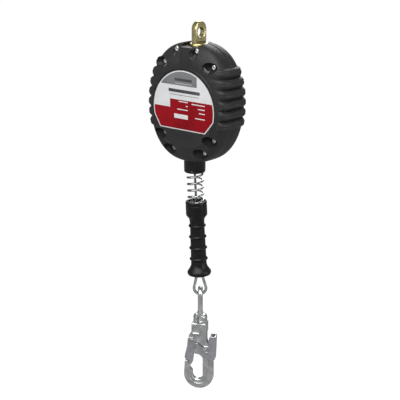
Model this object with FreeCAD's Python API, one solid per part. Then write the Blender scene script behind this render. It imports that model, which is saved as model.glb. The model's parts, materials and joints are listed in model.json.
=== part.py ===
import FreeCAD, Part

import math
import os

# Self retracting lifeline, in millimetres. The origin is the centre of the anchor eye's hole, +Z is up,
# -Y is the front (label) side and +X is to the right of it. Everything hangs below the eye.

V = FreeCAD.Vector
X_AXIS = V(1, 0, 0)
Y_AXIS = V(0, 1, 0)
Z_AXIS = V(0, 0, 1)
ORIGIN = V(0, 0, 0)

# Anchor eye and its swivel stud
EYE_HOLE_R = 8.5
EYE_WIDTH = 25.0
EYE_THICKNESS = 8.5
EYE_TOP = 17.5
FLANGE_R = 15.5
FLANGE_TOP = -17.0
FLANGE_BOTTOM = -21.0
STUD_R = 6.0
STUD_END = -42.5
RUNNING_GAP = 0.05

# Housing outline: two half ellipses, taller than wide, joined at their widest level
HOUSING_X = -5.0
HOUSING_Z = -108.0
HALF_WIDTH = 74.5
TOP_HEIGHT = 93.0
BOTTOM_HEIGHT = 100.0
OUTLINE_POINTS = 48
WALL = 3.0
SHELL_SECTIONS = ((0.0, 0.0), (24.0, 0.0), (29.0, 3.0), (31.5, 8.0))
CAVITY_SECTIONS = ((0.0, WALL), (24.0, WALL), (29.0, 9.0))
RIB_R = 9.0
RIB_INSET = 4.0
RIB_TOP = -57.0
RIB_PITCH = 16.4
RIB_COUNT = 7
RIB_DEPTH = 25.0
EYE_RECESS_R = 16.4

# Label and the disc it sits on
LABEL_Z = -120.0
DISC_R = 66.0
DISC_FACE = 32.3
LABEL_R = 62.5
LABEL_THICKNESS = 0.5
LABEL_SIDE_DROP = 13.0
LABEL_CUT_DROP = 33.0
LABEL_CUT_HALF = 44.6

# Cover screws, in mirrored pairs about the housing's middle: (half spacing, height)
SCREW_PAIRS = ((20.5, -26.0), (50.0, -49.0), (51.0, -165.0), (32.0, -188.0))
POCKET_R = 4.8
BOSS_R = 6.4
POCKET_FLOOR = 10.0
SCREW_R = 2.0
SCREW_HEAD_R = 3.8
SCREW_HEAD_HEIGHT = 2.6
INSERT_R = 3.4
INSERT_LENGTH = 12.0

# Screws of the frame, the brake and the drum
FRAME_SCREW_R = 2.0
FRAME_SCREW_LENGTH = 10.0
SCREW_HEAD_LOW = 1.9
DRUM_SCREW_R = 1.5
DRUM_SCREW_PCR = 17.5
THREAD_GAP = 0.02
HOLE_GAP = 0.05

# Drum axis and the layers along it, from the front plate to the rear plate
AXIS_Z = -96.0
SHAFT_R = 7.0
SHAFT_END_R = 5.0
PLATE_THICKNESS = 2.2
FRONT_PLATE = -26.8
REAR_PLATE = 24.6
DISC_FRONT = (-24.6, -23.4)
RATCHET = (-23.35, -20.05)
DISC_REAR = (-20.0, -19.0)
PRESSURE = (-19.0, -17.6)
FLANGE_FRONT = (-17.2, -15.0)
WINDING = (-14.8, 11.2)
FLANGE_REAR = (11.4, 13.4)
CASE = (13.6, 22.7)
CASE_COVER = (22.8, 24.0)
SPRING_STRIP = (15.0, 22.4)
PAWL = (-22.9, -18.4)

# Radii round the drum axis
PLATE_R = 60.6
BRAKE_SCREW_PCR = 57.8
BRAKE_SCREW_COUNT = 6
BRAKE_SCREW_R = 2.0
RATCHET_OUTER_R = 55.4
RATCHET_ROOT_R = 50.0
RATCHET_TIP_R = 45.0
RATCHET_TEETH = 10
DRUM_FLANGE_R = 54.0
WINDING_R = 50.0
CORE_R = 23.0
BUSH_R = 12.0
CASE_R = 50.0
CASE_WALL = 1.5
ARBOR_R = 11.0
SPIRAL_TURNS = 14
STRIP_THICKNESS = 0.8
POST_R = 5.0
POST_PCR = 66.5
POST_ANGLES = (-60.0, -130.0)

# Crosshead that carries the stud
CROSS_TOP = -21.3
CROSS_BOTTOM = -30.0
CROSS_HALF_X = 9.0
NUT_TOP = -31.8
NUT_BOTTOM = -40.4
NUT_FLAT_R = 9.0

# Pawls
PAWL_PIVOT_R = 31.0
PAWL_PIN_R = 3.0
PAWL_EYE_R = 6.0

# Cable outlet
NECK_X = -9.0
NECK_TOP = -198.0
NECK_BOTTOM = -228.0
NECK_R = 17.6
NECK_BORE_R = 15.4
NECK_LIP_R = 20.5
GUIDE_BOTTOM = -212.0
LINE_TILT = 3.2

# Line, measured down along its own axis from the neck's bottom
CABLE_R = 2.0
CABLE_TOP = -78.0
SPRING_WIRE_R = 1.2
SPRING_COIL_R = 12.5
SPRING_PITCH = 11.0
SPRING_START = -12.0
SPRING_END = 60.0
CUP_TOP = 49.0
CUP_R = 17.6
CUP_BORE_R = 15.2
CUP_FLOOR = 66.0
CUP_SHOULDER = 74.0
GRIP_R = 12.0
GRIP_START = 79.0
GRIP_END = 158.0
GRIP_RIBS = (91.0, 110.0, 129.0, 148.0)
GRIP_RIB_R = 1.9
FLARE_R = 20.0
HANDLE_END = 177.0
FERRULE = (114.0, 142.0)
FERRULE_R = 7.0
STRAND_OFFSET = 2.2
THIMBLE_CENTRE = 200.5
LOOP_R = 10.5
LOOP_HALF_ANGLE = 14.0
THIMBLE_HALF = 3.6
THIMBLE_TOP = 172.0
SWING_DROP = 211.0

# Plan angle of the thimble's plane and of the hook's plane
THIMBLE_YAW = 40.0
HOOK_YAW = 28.0

# Hook link: a closed oval of round bar on a stem
LINK_BAR_R = 4.25
LINK_BEND_R = 9.75
LINK_DROP = 20.0
STEM_R = 5.0
STEM_END = -61.5
STEM_HEAD_R = 7.8
STEM_HEAD_TOP = -57.0

# Hook, in its own plane: x across, z up, from the link's swing axis
COLLAR_R = 11.8
COLLAR = (-50.0, -35.0)
BLOCK_HALF = 10.5
BODY_HALF = 6.5
WEB_HALF = 4.2
CHEEK_THICKNESS = 1.7
BEND_X = -2.0
BEND_Z = -146.0
BEND_OUTER_R = 26.0
BEND_INNER_R = 9.0
GATE_PIVOT = (-13.0, -84.0)
LEVER_PIVOT = (13.0, -104.0)
PIN_R = 2.2


def cylinder(radius, start, end, direction):
    """A cylinder along one of the frame's directions, from start to end on it."""
    base = direction * start
    return Part.makeCylinder(radius, end - start, base, direction)


def tube(outer, inner, start, end, direction):
    """A round tube along a direction."""
    return cylinder(outer, start, end, direction).cut(cylinder(inner, start - 1, end + 1, direction))


def moved(shape, x, y, z):
    """The shape carried by one step."""
    copy = shape.copy()
    copy.translate(V(x, y, z))
    return copy


def turned(shape, degrees, axis, centre=ORIGIN):
    """The shape turned about an axis through a point."""
    copy = shape.copy()
    copy.rotate(centre, axis, degrees)
    return copy


def on_axis(shape):
    """A shape made round the Y axis, carried to the drum's axis."""
    return moved(shape, HOUSING_X, 0, AXIS_Z)


def disc(outer, inner, layer):
    """A ring round the drum's axis that fills one layer."""
    return on_axis(tube(outer, inner, layer[0], layer[1], Y_AXIS))


def polar(radius, degrees):
    """A point in the XZ plane as (x, z)."""
    angle = math.radians(degrees)
    return radius * math.cos(angle), radius * math.sin(angle)


def plate(points, start, end):
    """A flat plate: a polygon of (x, z) points, thick from start to end along Y."""
    corners = [V(x, start, z) for x, z in points]
    return Part.Face(Part.makePolygon(corners + corners[:1])).extrude(V(0, end - start, 0))


def strap(first, second, half_width, start, end):
    """A round-ended bar between two (x, z) points, thick from start to end along Y."""
    along = V(second[0] - first[0], 0, second[1] - first[1])
    side = V(-along.z, 0, along.x).normalize() * half_width
    corners = [(first[0] + side.x, first[1] + side.z), (second[0] + side.x, second[1] + side.z)]
    corners += [(second[0] - side.x, second[1] - side.z), (first[0] - side.x, first[1] - side.z)]
    ends = [moved(cylinder(half_width, start, end, Y_AXIS), x, 0, z) for x, z in (first, second)]
    return plate(corners, start, end).multiFuse(ends)


def revolved(profile):
    """A solid of revolution about Z from (radius, height) points."""
    corners = [V(r, 0, z) for r, z in profile]
    return Part.Face(Part.makePolygon(corners + corners[:1])).revolve(ORIGIN, Z_AXIS, 360)


def hexagon(flat_radius, start, end):
    """A hexagonal bar along Z with two flats facing front and back."""
    corner = flat_radius / math.cos(math.radians(30))
    points = [V(*polar(corner, 60 * i), start) for i in range(6)]
    return Part.Face(Part.makePolygon(points + points[:1])).extrude(V(0, 0, end - start))


def coil(radius, wire, pitch, start, end):
    """A helical spring about Z."""
    helix = Part.makeHelix(pitch, end - start, radius)
    section = Part.Wire(Part.makeCircle(wire, V(radius, 0, 0), Y_AXIS))
    spring = Part.Wire(helix.Edges).makePipeShell([section], True, True)
    return moved(spring, 0, 0, start)


def rod(first, second, radius):
    """A round rod with a ball at its second end, so that the next rod joins it smoothly."""
    along = second - first
    return Part.makeCylinder(radius, along.Length, first, along).fuse(Part.makeSphere(radius, second))


# Housing

def outline(inset, y):
    """The housing's outline, drawn in by an inset, as a closed smooth wire at one depth."""
    points = []
    for i in range(OUTLINE_POINTS):
        angle = 2 * math.pi * i / OUTLINE_POINTS
        height = TOP_HEIGHT if math.sin(angle) > 0 else BOTTOM_HEIGHT
        x = HOUSING_X + (HALF_WIDTH - inset) * math.cos(angle)
        points.append(V(x, y, HOUSING_Z + (height - inset) * math.sin(angle)))
    curve = Part.BSplineCurve()
    curve.interpolate(Points=points, PeriodicFlag=True)
    return Part.Wire(curve.toShape())


def shell_block(sections, side):
    """The solid between the parting plane and one face; side is -1 for the front and 1 for the rear."""
    wires = [outline(inset, side * depth) for depth, inset in sections]
    return Part.makeLoft(wires, True, True)


def rib_places():
    """The (x, z) centres of the grip ribs on both flanks."""
    places = []
    for i in range(RIB_COUNT):
        z = RIB_TOP - RIB_PITCH * i
        height = TOP_HEIGHT if z > HOUSING_Z else BOTTOM_HEIGHT
        reach = (HALF_WIDTH - RIB_INSET) * math.sqrt(1 - ((z - HOUSING_Z) / height) ** 2)
        places += [(HOUSING_X - reach, z), (HOUSING_X + reach, z)]
    return places


def screw_places():
    """The (x, z) places of the cover screws."""
    return [(HOUSING_X + side * half, z) for half, z in SCREW_PAIRS for side in (-1, 1)]


def neck_hole():
    """What the outlet takes out of the covers: its barrel and the groove for its lip."""
    barrel = cylinder(NECK_R + 0.1, NECK_BOTTOM, NECK_TOP, Z_AXIS)
    lip = cylinder(NECK_LIP_R + 0.1, NECK_TOP - 3.1, NECK_TOP + 0.1, Z_AXIS)
    return moved(barrel.fuse(lip), NECK_X, 0, 0)


def cover(side):
    """One housing half: a hollow ribbed shell with screw bosses."""
    ends = sorted((0.0, side * RIB_DEPTH))
    ribs = [moved(cylinder(RIB_R, ends[0], ends[1], Y_AXIS), x, 0, z) for x, z in rib_places()]
    shell = shell_block(SHELL_SECTIONS, side).multiFuse(ribs)
    shell = shell.cut(shell_block(CAVITY_SECTIONS, side))
    face = SHELL_SECTIONS[-1][0]
    bosses = []
    for x, z in screw_places():
        reach = sorted((0.0, side * (face - 3.0)))
        bosses.append(moved(cylinder(BOSS_R, reach[0], reach[1], Y_AXIS), x, 0, z))
    shell = shell.multiFuse(bosses)
    holes = [neck_hole(), cylinder(EYE_RECESS_R, CROSS_TOP, 0, Z_AXIS), crosshead_room(side)]
    for x, z in screw_places():
        if side < 0:
            holes.append(moved(cylinder(POCKET_R, -2 * face, -POCKET_FLOOR, Y_AXIS), x, 0, z))
            holes.append(moved(cylinder(SCREW_R + 0.2, -POCKET_FLOOR - 1, 1, Y_AXIS), x, 0, z))
        else:
            holes.append(moved(cylinder(INSERT_R, -1, INSERT_LENGTH, Y_AXIS), x, 0, z))
    shell = shell.cut(Part.makeCompound(holes))
    if side < 0:
        rest = moved(cylinder(DISC_R, -DISC_FACE, -face + 1, Y_AXIS), HOUSING_X, 0, LABEL_Z)
        shell = shell.fuse(rest.cut(shell_block(CAVITY_SECTIONS, side)))
    return shell.removeSplitter()


def crosshead_room(side):
    """Space for the crosshead and the tops of the frame plates, cut out of one cover."""
    depth = -FRONT_PLATE + SCREW_HEAD_LOW + 0.2
    base = V(-CROSS_HALF_X - 0.2, min(0.0, side * depth), CROSS_BOTTOM - 10)
    return Part.makeBox(2 * CROSS_HALF_X + 0.4, depth, CROSS_TOP - CROSS_BOTTOM + 10.1, base)


def label():
    """The front label: a round plate with slanted lower sides and a straight bottom."""
    round_part = cylinder(LABEL_R, -DISC_FACE - LABEL_THICKNESS, -DISC_FACE, Y_AXIS)
    keep = [(-LABEL_R - 1, LABEL_R + 1), (-LABEL_R - 1, -LABEL_SIDE_DROP + 6)]
    side = math.sqrt(LABEL_R ** 2 - LABEL_SIDE_DROP ** 2)
    keep += [(-side, -LABEL_SIDE_DROP), (-LABEL_CUT_HALF, -LABEL_CUT_DROP)]
    keep += [(-x, z) for x, z in reversed(keep)]
    shape = round_part.common(plate(keep, -DISC_FACE - 2, -DISC_FACE + 2))
    return moved(shape, HOUSING_X, 0, LABEL_Z)


def cover_screws():
    """Eight screws whose heads sit at the bottom of the front cover's pockets."""
    head = cylinder(SCREW_HEAD_R, -POCKET_FLOOR - SCREW_HEAD_HEIGHT, -POCKET_FLOOR, Y_AXIS)
    socket = plate([polar(1.6, 60 * i) for i in range(6)], -POCKET_FLOOR - 3, -POCKET_FLOOR - 1.2)
    screw = head.cut(socket).fuse(cylinder(SCREW_R, -POCKET_FLOOR, 9.0, Y_AXIS))
    return Part.makeCompound([moved(screw, x, 0, z) for x, z in screw_places()])


def cover_inserts():
    """Threaded inserts in the rear cover."""
    insert = tube(INSERT_R, SCREW_R + 0.02, 0.2, INSERT_LENGTH - 0.2, Y_AXIS)
    return Part.makeCompound([moved(insert, x, 0, z) for x, z in screw_places()])


# Anchor

def swivel_eye():
    """The eye plate with its flange and stud, forged in one."""
    half = EYE_THICKNESS / 2
    top_centre = EYE_TOP - EYE_WIDTH / 2
    blade = moved(cylinder(EYE_WIDTH / 2, -half, half, X_AXIS), 0, 0, top_centre)
    foot_height = top_centre - FLANGE_TOP + 1
    foot = Part.makeBox(EYE_THICKNESS, EYE_WIDTH, foot_height, V(-half, -EYE_WIDTH / 2, FLANGE_TOP - 1))
    blade = blade.fuse(foot).cut(cylinder(EYE_HOLE_R, -half - 1, half + 1, X_AXIS))
    flange = revolved([(0, FLANGE_BOTTOM), (FLANGE_R, FLANGE_BOTTOM), (FLANGE_R, FLANGE_TOP - 1),
                       (FLANGE_R - 2, FLANGE_TOP), (0, FLANGE_TOP)])
    stud = cylinder(STUD_R, STUD_END, FLANGE_BOTTOM, Z_AXIS)
    pin_hole = moved(cylinder(1.6, -15, 15, X_AXIS), 0, 0, NUT_BOTTOM + 2)
    return blade.multiFuse([flange, stud]).cut(pin_hole).removeSplitter()


def eye_nut():
    """Castle nut under the crosshead."""
    nut = hexagon(NUT_FLAT_R, NUT_BOTTOM, NUT_TOP).cut(cylinder(STUD_R + 0.02, NUT_BOTTOM - 1, 0, Z_AXIS))
    slots = []
    for i in range(3):
        slot = Part.makeBox(30, 3.4, 4.6, V(-15, -1.7, NUT_BOTTOM - 1))
        slots.append(turned(slot, 60 * i, Z_AXIS))
    return nut.cut(Part.makeCompound(slots))


def eye_nut_pin():
    """Split pin through the nut's slots and the stud."""
    return moved(cylinder(1.3, -10.5, 10.5, X_AXIS), 0, 0, NUT_BOTTOM + 2)


# Frame

def crosshead():
    """The block that carries the stud between the frame plates."""
    depth = REAR_PLATE
    corner = V(-CROSS_HALF_X, -depth, CROSS_BOTTOM)
    block = Part.makeBox(2 * CROSS_HALF_X, 2 * depth, CROSS_TOP - CROSS_BOTTOM, corner)
    bore = cylinder(STUD_R + 1.5, CROSS_BOTTOM - 1, CROSS_TOP + 1, Z_AXIS)
    middle = (CROSS_TOP + CROSS_BOTTOM) / 2
    return block.cut(Part.makeCompound([bore] + [moved(hole, 0, 0, middle) for hole in tapped_ends()]))


def tapped_ends():
    """Tapped holes for the frame's screws at both ends of a piece between the plates."""
    depth = FRAME_SCREW_LENGTH - PLATE_THICKNESS + 0.5
    inner = FRONT_PLATE + PLATE_THICKNESS
    radius = FRAME_SCREW_R + THREAD_GAP
    front = cylinder(radius, inner - 1, inner + depth, Y_AXIS)
    rear = cylinder(radius, REAR_PLATE - depth, REAR_PLATE + 1, Y_AXIS)
    return [front, rear]


def frame_plate(start, front):
    """A side plate with a neck up to the crosshead and two ears for the posts."""
    end = start + PLATE_THICKNESS
    centre = (HOUSING_X, AXIS_Z)
    hub = on_axis(cylinder(PLATE_R if front else 30.0, start, end, Y_AXIS))
    shoulders = [(22, -62), (22, AXIS_Z), (-32, AXIS_Z), (-32, -62)]
    neck = [(-CROSS_HALF_X, -40), (-CROSS_HALF_X, CROSS_TOP), (CROSS_HALF_X, CROSS_TOP), (CROSS_HALF_X, -40)]
    neck = plate(neck + shoulders, start, end)
    ears = [strap(centre, post, 7.5, start, end) for post in post_places()]
    body = hub.multiFuse([neck] + ears).removeSplitter()
    holes = [on_axis(cylinder(SHAFT_END_R + 0.03, start - 1, end + 1, Y_AXIS))]
    screw_hole = cylinder(FRAME_SCREW_R + HOLE_GAP, start - 1, end + 1, Y_AXIS)
    holes += [moved(screw_hole, x, 0, z) for x, z in frame_screw_places()]
    if front:
        screw_hole = cylinder(BRAKE_SCREW_R + HOLE_GAP, start - 1, end + 1, Y_AXIS)
        holes += [moved(screw_hole, x, 0, z) for x, z in brake_screw_places()]
    return body.cut(Part.makeCompound(holes))


def post_places():
    """The (x, z) places of the two spacer posts below the drum."""
    found = []
    for angle in POST_ANGLES:
        x, z = polar(POST_PCR, angle)
        found.append((HOUSING_X + x, AXIS_Z + z))
    return found


def frame_screw_places():
    """Screw places of the frame: one into the crosshead and one into each post."""
    return [(0.0, (CROSS_TOP + CROSS_BOTTOM) / 2)] + post_places()


def brake_screw_places():
    """The (x, z) places of the brake's clamping screws."""
    found = []
    for i in range(BRAKE_SCREW_COUNT):
        x, z = polar(BRAKE_SCREW_PCR, 30 + 360 * i / BRAKE_SCREW_COUNT)
        found.append((HOUSING_X + x, AXIS_Z + z))
    return found


def frame_spacers():
    """The two posts that keep the plates apart below the drum."""
    post = cylinder(POST_R, FRONT_PLATE + PLATE_THICKNESS, REAR_PLATE, Y_AXIS)
    post = post.cut(Part.makeCompound(tapped_ends()))
    return Part.makeCompound([moved(post, x, 0, z) for x, z in post_places()])


def frame_screws():
    """Low-head screws that hold both plates to the crosshead and the posts."""
    head = cylinder(3.6, FRONT_PLATE - SCREW_HEAD_LOW, FRONT_PLATE, Y_AXIS)
    front = head.fuse(cylinder(FRAME_SCREW_R, FRONT_PLATE, FRONT_PLATE + FRAME_SCREW_LENGTH, Y_AXIS))
    rear = turned(front, 180, Z_AXIS)
    places = frame_screw_places()
    return Part.makeCompound([moved(screw, x, 0, z) for screw in (front, rear) for x, z in places])


def main_shaft():
    """The fixed shaft, stepped where it passes through the plates."""
    front_inner = FRONT_PLATE + PLATE_THICKNESS
    body = cylinder(SHAFT_R, front_inner, REAR_PLATE, Y_AXIS)
    ends = cylinder(SHAFT_END_R, FRONT_PLATE - 2.0, REAR_PLATE + PLATE_THICKNESS + 2.0, Y_AXIS)
    grooves = [tube(6.0, 4.2, y, y + 1.2, Y_AXIS) for y in clip_layers()]
    return on_axis(body.fuse(ends).cut(Part.makeCompound(grooves)))


def clip_layers():
    """Where the retaining clips start, outside the two plates."""
    return FRONT_PLATE - 1.4, REAR_PLATE + PLATE_THICKNESS + 0.2


def shaft_clips():
    """Open retaining clips in the shaft's grooves."""
    clips = []
    for y in clip_layers():
        clip = tube(8.0, 4.3, y + 0.1, y + 1.1, Y_AXIS)
        clips.append(on_axis(clip.cut(Part.makeBox(4, 3, 20, V(-2, y - 1, 0)))))
    return Part.makeCompound(clips)


# Brake

def ratchet_ring():
    """The slipping ring with saw teeth on its inside."""
    points = []
    for i in range(RATCHET_TEETH):
        start = 180 - 360 * i / RATCHET_TEETH
        points.append(polar(RATCHET_TIP_R, start))
        points += [polar(RATCHET_ROOT_R, start - 4), polar(RATCHET_ROOT_R, start - 27)]
    teeth = plate(points, RATCHET[0] - 1, RATCHET[1] + 1)
    return on_axis(cylinder(RATCHET_OUTER_R, RATCHET[0], RATCHET[1], Y_AXIS).cut(teeth))


def pressure_ring():
    """The ring that squeezes the brake stack against the front plate."""
    holes = [moved(cylinder(BRAKE_SCREW_R + 0.05, PRESSURE[0] - 1, PRESSURE[1] + 1, Y_AXIS), x, 0, z)
             for x, z in brake_screw_places()]
    return disc(PLATE_R, 51.0, PRESSURE).cut(Part.makeCompound(holes))


def brake_screws():
    """Clamping screws from the front plate to the pressure ring."""
    screw = cylinder(BRAKE_SCREW_R, FRONT_PLATE, PRESSURE[1], Y_AXIS)
    screw = screw.fuse(cylinder(3.4, FRONT_PLATE - SCREW_HEAD_LOW, FRONT_PLATE, Y_AXIS))
    return Part.makeCompound([moved(screw, x, 0, z) for x, z in brake_screw_places()])


def pawl(turn):
    """A centrifugal pawl: an eye on the pivot, an arm and a pointed nose."""
    start, end = PAWL
    arm = [(3, -6), (-12, -6.5), (-24, -3), (-30.5, -0.5), (-26, 3.5), (-12, 6), (0, 6)]
    shape = plate(arm, start, end).fuse(cylinder(PAWL_EYE_R, start, end, Y_AXIS))
    shape = shape.cut(cylinder(PAWL_PIN_R + RUNNING_GAP, start - 1, end + 1, Y_AXIS))
    return on_axis(turned(moved(shape, 0, 0, PAWL_PIVOT_R), turn, Y_AXIS))


# Drum

def drum_hub():
    """The winding core with the front flange, cast in one."""
    core = cylinder(CORE_R, FLANGE_FRONT[0], FLANGE_REAR[0], Y_AXIS)
    flange = cylinder(DRUM_FLANGE_R, FLANGE_FRONT[0], FLANGE_FRONT[1], Y_AXIS)
    bore = cylinder(BUSH_R, FLANGE_FRONT[0] - 1, FLANGE_REAR[0] + 1, Y_AXIS)
    pins = [cylinder(PAWL_PIN_R, FLANGE_FRONT[0] - 1, FLANGE_FRONT[1] + 1, Y_AXIS)]
    holes = [turned(moved(pins[0], 0, 0, PAWL_PIVOT_R), turn, Y_AXIS) for turn in (0, 180)]
    screws = drum_screw_holes(FLANGE_REAR[0] - 9, FLANGE_REAR[0] + 1)
    return on_axis(core.fuse(flange).cut(Part.makeCompound([bore] + holes + screws)))


def drum_screw_places():
    """Offsets of the four screws that hold the rear flange and the spring case to the hub."""
    found = []
    for i in range(4):
        x, z = polar(DRUM_SCREW_PCR, 45 + 90 * i)
        found.append((x, 0, z))
    return found


def drum_screw_holes(start, end):
    """The holes those four screws need between two depths."""
    hole = cylinder(DRUM_SCREW_R + HOLE_GAP, start, end, Y_AXIS)
    return [moved(hole, *place) for place in drum_screw_places()]


def drum_flange_rear():
    """The loose rear flange."""
    ring = tube(DRUM_FLANGE_R, BUSH_R, FLANGE_REAR[0], FLANGE_REAR[1], Y_AXIS)
    return on_axis(ring.cut(Part.makeCompound(drum_screw_holes(FLANGE_REAR[0] - 1, FLANGE_REAR[1] + 1))))


def drum_bushes():
    """Two plain bushes between the hub and the shaft."""
    bore = SHAFT_R + RUNNING_GAP
    spans = ((FLANGE_FRONT[0], FLANGE_FRONT[0] + 10), (FLANGE_REAR[1] - 10, FLANGE_REAR[1]))
    return Part.makeCompound([on_axis(tube(BUSH_R - 0.02, bore, start, end, Y_AXIS)) for start, end in spans])


def spring_case():
    """The open pot that holds the power spring and turns with the drum."""
    pot = cylinder(CASE_R, CASE[0], CASE[1], Y_AXIS)
    room = cylinder(CASE_R - CASE_WALL, CASE[0] + 1.1, CASE[1] + 1, Y_AXIS)
    hole = cylinder(SHAFT_R + 2.0, CASE[0] - 1, CASE[1], Y_AXIS)
    return on_axis(pot.cut(Part.makeCompound([room, hole] + drum_screw_holes(CASE[0] - 1, CASE[1]))))


def power_spring():
    """A flat strip wound in a spiral from the arbor out to the case's wall, in half turns about two centres."""
    inner = ARBOR_R + 0.3
    outer = CASE_R - CASE_WALL - STRIP_THICKNESS - 0.3
    growth = (outer - inner) / (2 * SPIRAL_TURNS)
    near, far = [], []
    for i in range(2 * SPIRAL_TURNS):
        side = 1 if i % 2 == 0 else -1
        centre = 0.0 if i % 2 == 0 else growth
        for arcs, radius in ((near, inner + growth * i), (far, inner + growth * i + STRIP_THICKNESS)):
            start = V(centre + side * radius, SPRING_STRIP[0], 0)
            middle = V(centre, SPRING_STRIP[0], side * radius)
            end = V(centre - side * radius, SPRING_STRIP[0], 0)
            arcs.append(Part.Arc(start, middle, end).toShape())
    first = Part.makeLine(near[0].Vertexes[0].Point, far[0].Vertexes[0].Point)
    last = Part.makeLine(near[-1].Vertexes[-1].Point, far[-1].Vertexes[-1].Point)
    wire = Part.Wire(Part.__sortEdges__(near + [last] + far + [first]))
    return on_axis(Part.Face(wire).extrude(V(0, SPRING_STRIP[1] - SPRING_STRIP[0], 0)))


def drum_screws():
    """Four screws through the spring case's floor into the hub."""
    floor = CASE[0] + 1.1
    head = cylinder(DRUM_SCREW_R + 0.5, floor, floor + 0.25, Y_AXIS)
    screw = cylinder(DRUM_SCREW_R, FLANGE_REAR[0] - 8, floor, Y_AXIS).fuse(head)
    return Part.makeCompound([on_axis(moved(screw, *place)) for place in drum_screw_places()])


def pawl_pins():
    """Two headed pins fixed in the drum's front flange."""
    pin = cylinder(PAWL_PIN_R, PAWL[0], FLANGE_FRONT[1], Y_AXIS)
    pin = pin.fuse(cylinder(PAWL_PIN_R + 1.2, PAWL[0] - 0.9, PAWL[0] - 0.1, Y_AXIS))
    pin = pin.fuse(cylinder(PAWL_PIN_R, PAWL[0] - 0.2, PAWL[0] + 0.1, Y_AXIS))
    placed = moved(pin, 0, 0, PAWL_PIVOT_R)
    return Part.makeCompound([on_axis(turned(placed, turn, Y_AXIS)) for turn in (0, 180)])


# Outlet

def outlet_neck():
    """The black socket under the housing, held by a lip between the covers."""
    return moved(revolved([
        (NECK_BORE_R, NECK_TOP), (NECK_LIP_R, NECK_TOP), (NECK_LIP_R, NECK_TOP - 3), (NECK_R, NECK_TOP - 3),
        (NECK_R, NECK_BOTTOM + 3), (NECK_R - 1, NECK_BOTTOM + 1), (NECK_R - 1.6, NECK_BOTTOM),
        (NECK_BORE_R, NECK_BOTTOM)]), NECK_X, 0, 0)


def cable_guide():
    """A bell-mouthed bush inside the outlet; its lower face is the cushion spring's stop."""
    outer = NECK_BORE_R - 0.05
    blank = moved(cylinder(outer, GUIDE_BOTTOM, NECK_TOP, Z_AXIS), NECK_X, 0, 0)
    mouth = revolved([(0, 13.9), (2.6, 13.9), (2.6, 20), (4.0, 24), (8.5, 31), (8.5, 40), (0, 40)])
    return blank.cut(on_line(mouth))


def on_line(shape):
    """Carries a shape made round Z, with its drop along -Z, onto the tilted line under the outlet."""
    return moved(turned(shape, -LINE_TILT, Y_AXIS), NECK_X, 0, NECK_BOTTOM)


def in_plane(shape):
    """Turns a shape made in the XZ plane into the thimble's plane, then carries it onto the line."""
    return on_line(turned(shape, THIMBLE_YAW, Z_AXIS))


# Line

def strand(radius):
    """The cable: down through the handle, round the thimble and back up to its dead end in the ferrule."""
    half = math.radians(LOOP_HALF_ANGLE)
    tangent_x = LOOP_R * math.cos(half)
    tangent_z = -THIMBLE_CENTRE + LOOP_R * math.sin(half)
    leg = (tangent_x - STRAND_OFFSET) / math.sin(half)
    meet_z = tangent_z + leg * math.cos(half)
    down = [V(0, 0, -CABLE_TOP), V(0, 0, -100), V(-STRAND_OFFSET, 0, -111), V(-STRAND_OFFSET, 0, meet_z),
            V(-tangent_x, 0, tangent_z)]
    up = [V(tangent_x, 0, tangent_z), V(STRAND_OFFSET, 0, meet_z), V(STRAND_OFFSET, 0, -113)]
    pieces = [rod(first, second, radius) for first, second in zip(down, down[1:])]
    pieces.append(Part.makeSphere(radius, up[0]))
    pieces += [rod(second, first, radius) for first, second in zip(up, up[1:])]
    section = Part.Face(Part.Wire(Part.makeCircle(radius, down[-1], V(math.sin(half), 0, -math.cos(half)))))
    sweep = 180 + 2 * LOOP_HALF_ANGLE
    pieces.append(section.revolve(V(0, 0, -THIMBLE_CENTRE), Y_AXIS, -sweep))
    end_cut = Part.makeBox(6, 6, 4, V(STRAND_OFFSET - 2.1, -3, -113))
    return pieces[0].multiFuse(pieces[1:]).cut(end_cut).removeSplitter()


def handle_grip():
    """The rubber handle: a cup for the spring, a ribbed grip and a flared foot."""
    cup = [(CUP_R - 0.8, -CUP_TOP), (CUP_R, -CUP_TOP - 0.8), (CUP_R, -CUP_SHOULDER)]
    grip = [(GRIP_R + 0.6, -GRIP_START), (GRIP_R, -GRIP_START - 4), (GRIP_R, -128), (GRIP_R + 1, -GRIP_END)]
    flare = [(16.5, -164), (FLARE_R - 0.6, -168.5), (FLARE_R, -171), (FLARE_R - 0.8, -174), (FLARE_R - 3, -176.3),
             (FLARE_R - 6, -HANDLE_END)]
    inside = [(12.0, -HANDLE_END), (12.0, -166), (9.0, -162), (8.0, -145), (8.0, -82), (5.2, -80), (5.2, -CUP_FLOOR),
              (CUP_BORE_R, -CUP_FLOOR), (CUP_BORE_R, -CUP_TOP)]
    body = revolved(cup + grip + flare + inside)
    ribs = []
    for i, drop in enumerate(GRIP_RIBS):
        ribs.append(Part.makeTorus(GRIP_R + 0.1 + 0.3 * i, GRIP_RIB_R, V(0, 0, -drop)))
    return body.multiFuse(ribs).removeSplitter()


def ferrule():
    """The swaged sleeve that grips both strands."""
    top, bottom = -FERRULE[0], -FERRULE[1]
    sleeve = revolved([(0, bottom), (FERRULE_R - 1, bottom), (FERRULE_R, bottom + 1), (FERRULE_R, top - 1),
                       (FERRULE_R - 1, top), (0, top)])
    hole = cylinder(CABLE_R + 0.03, bottom - 1, top + 1, Z_AXIS)
    return sleeve.cut(Part.makeCompound([moved(hole, side * STRAND_OFFSET, 0, 0) for side in (-1, 1)]))


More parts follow.
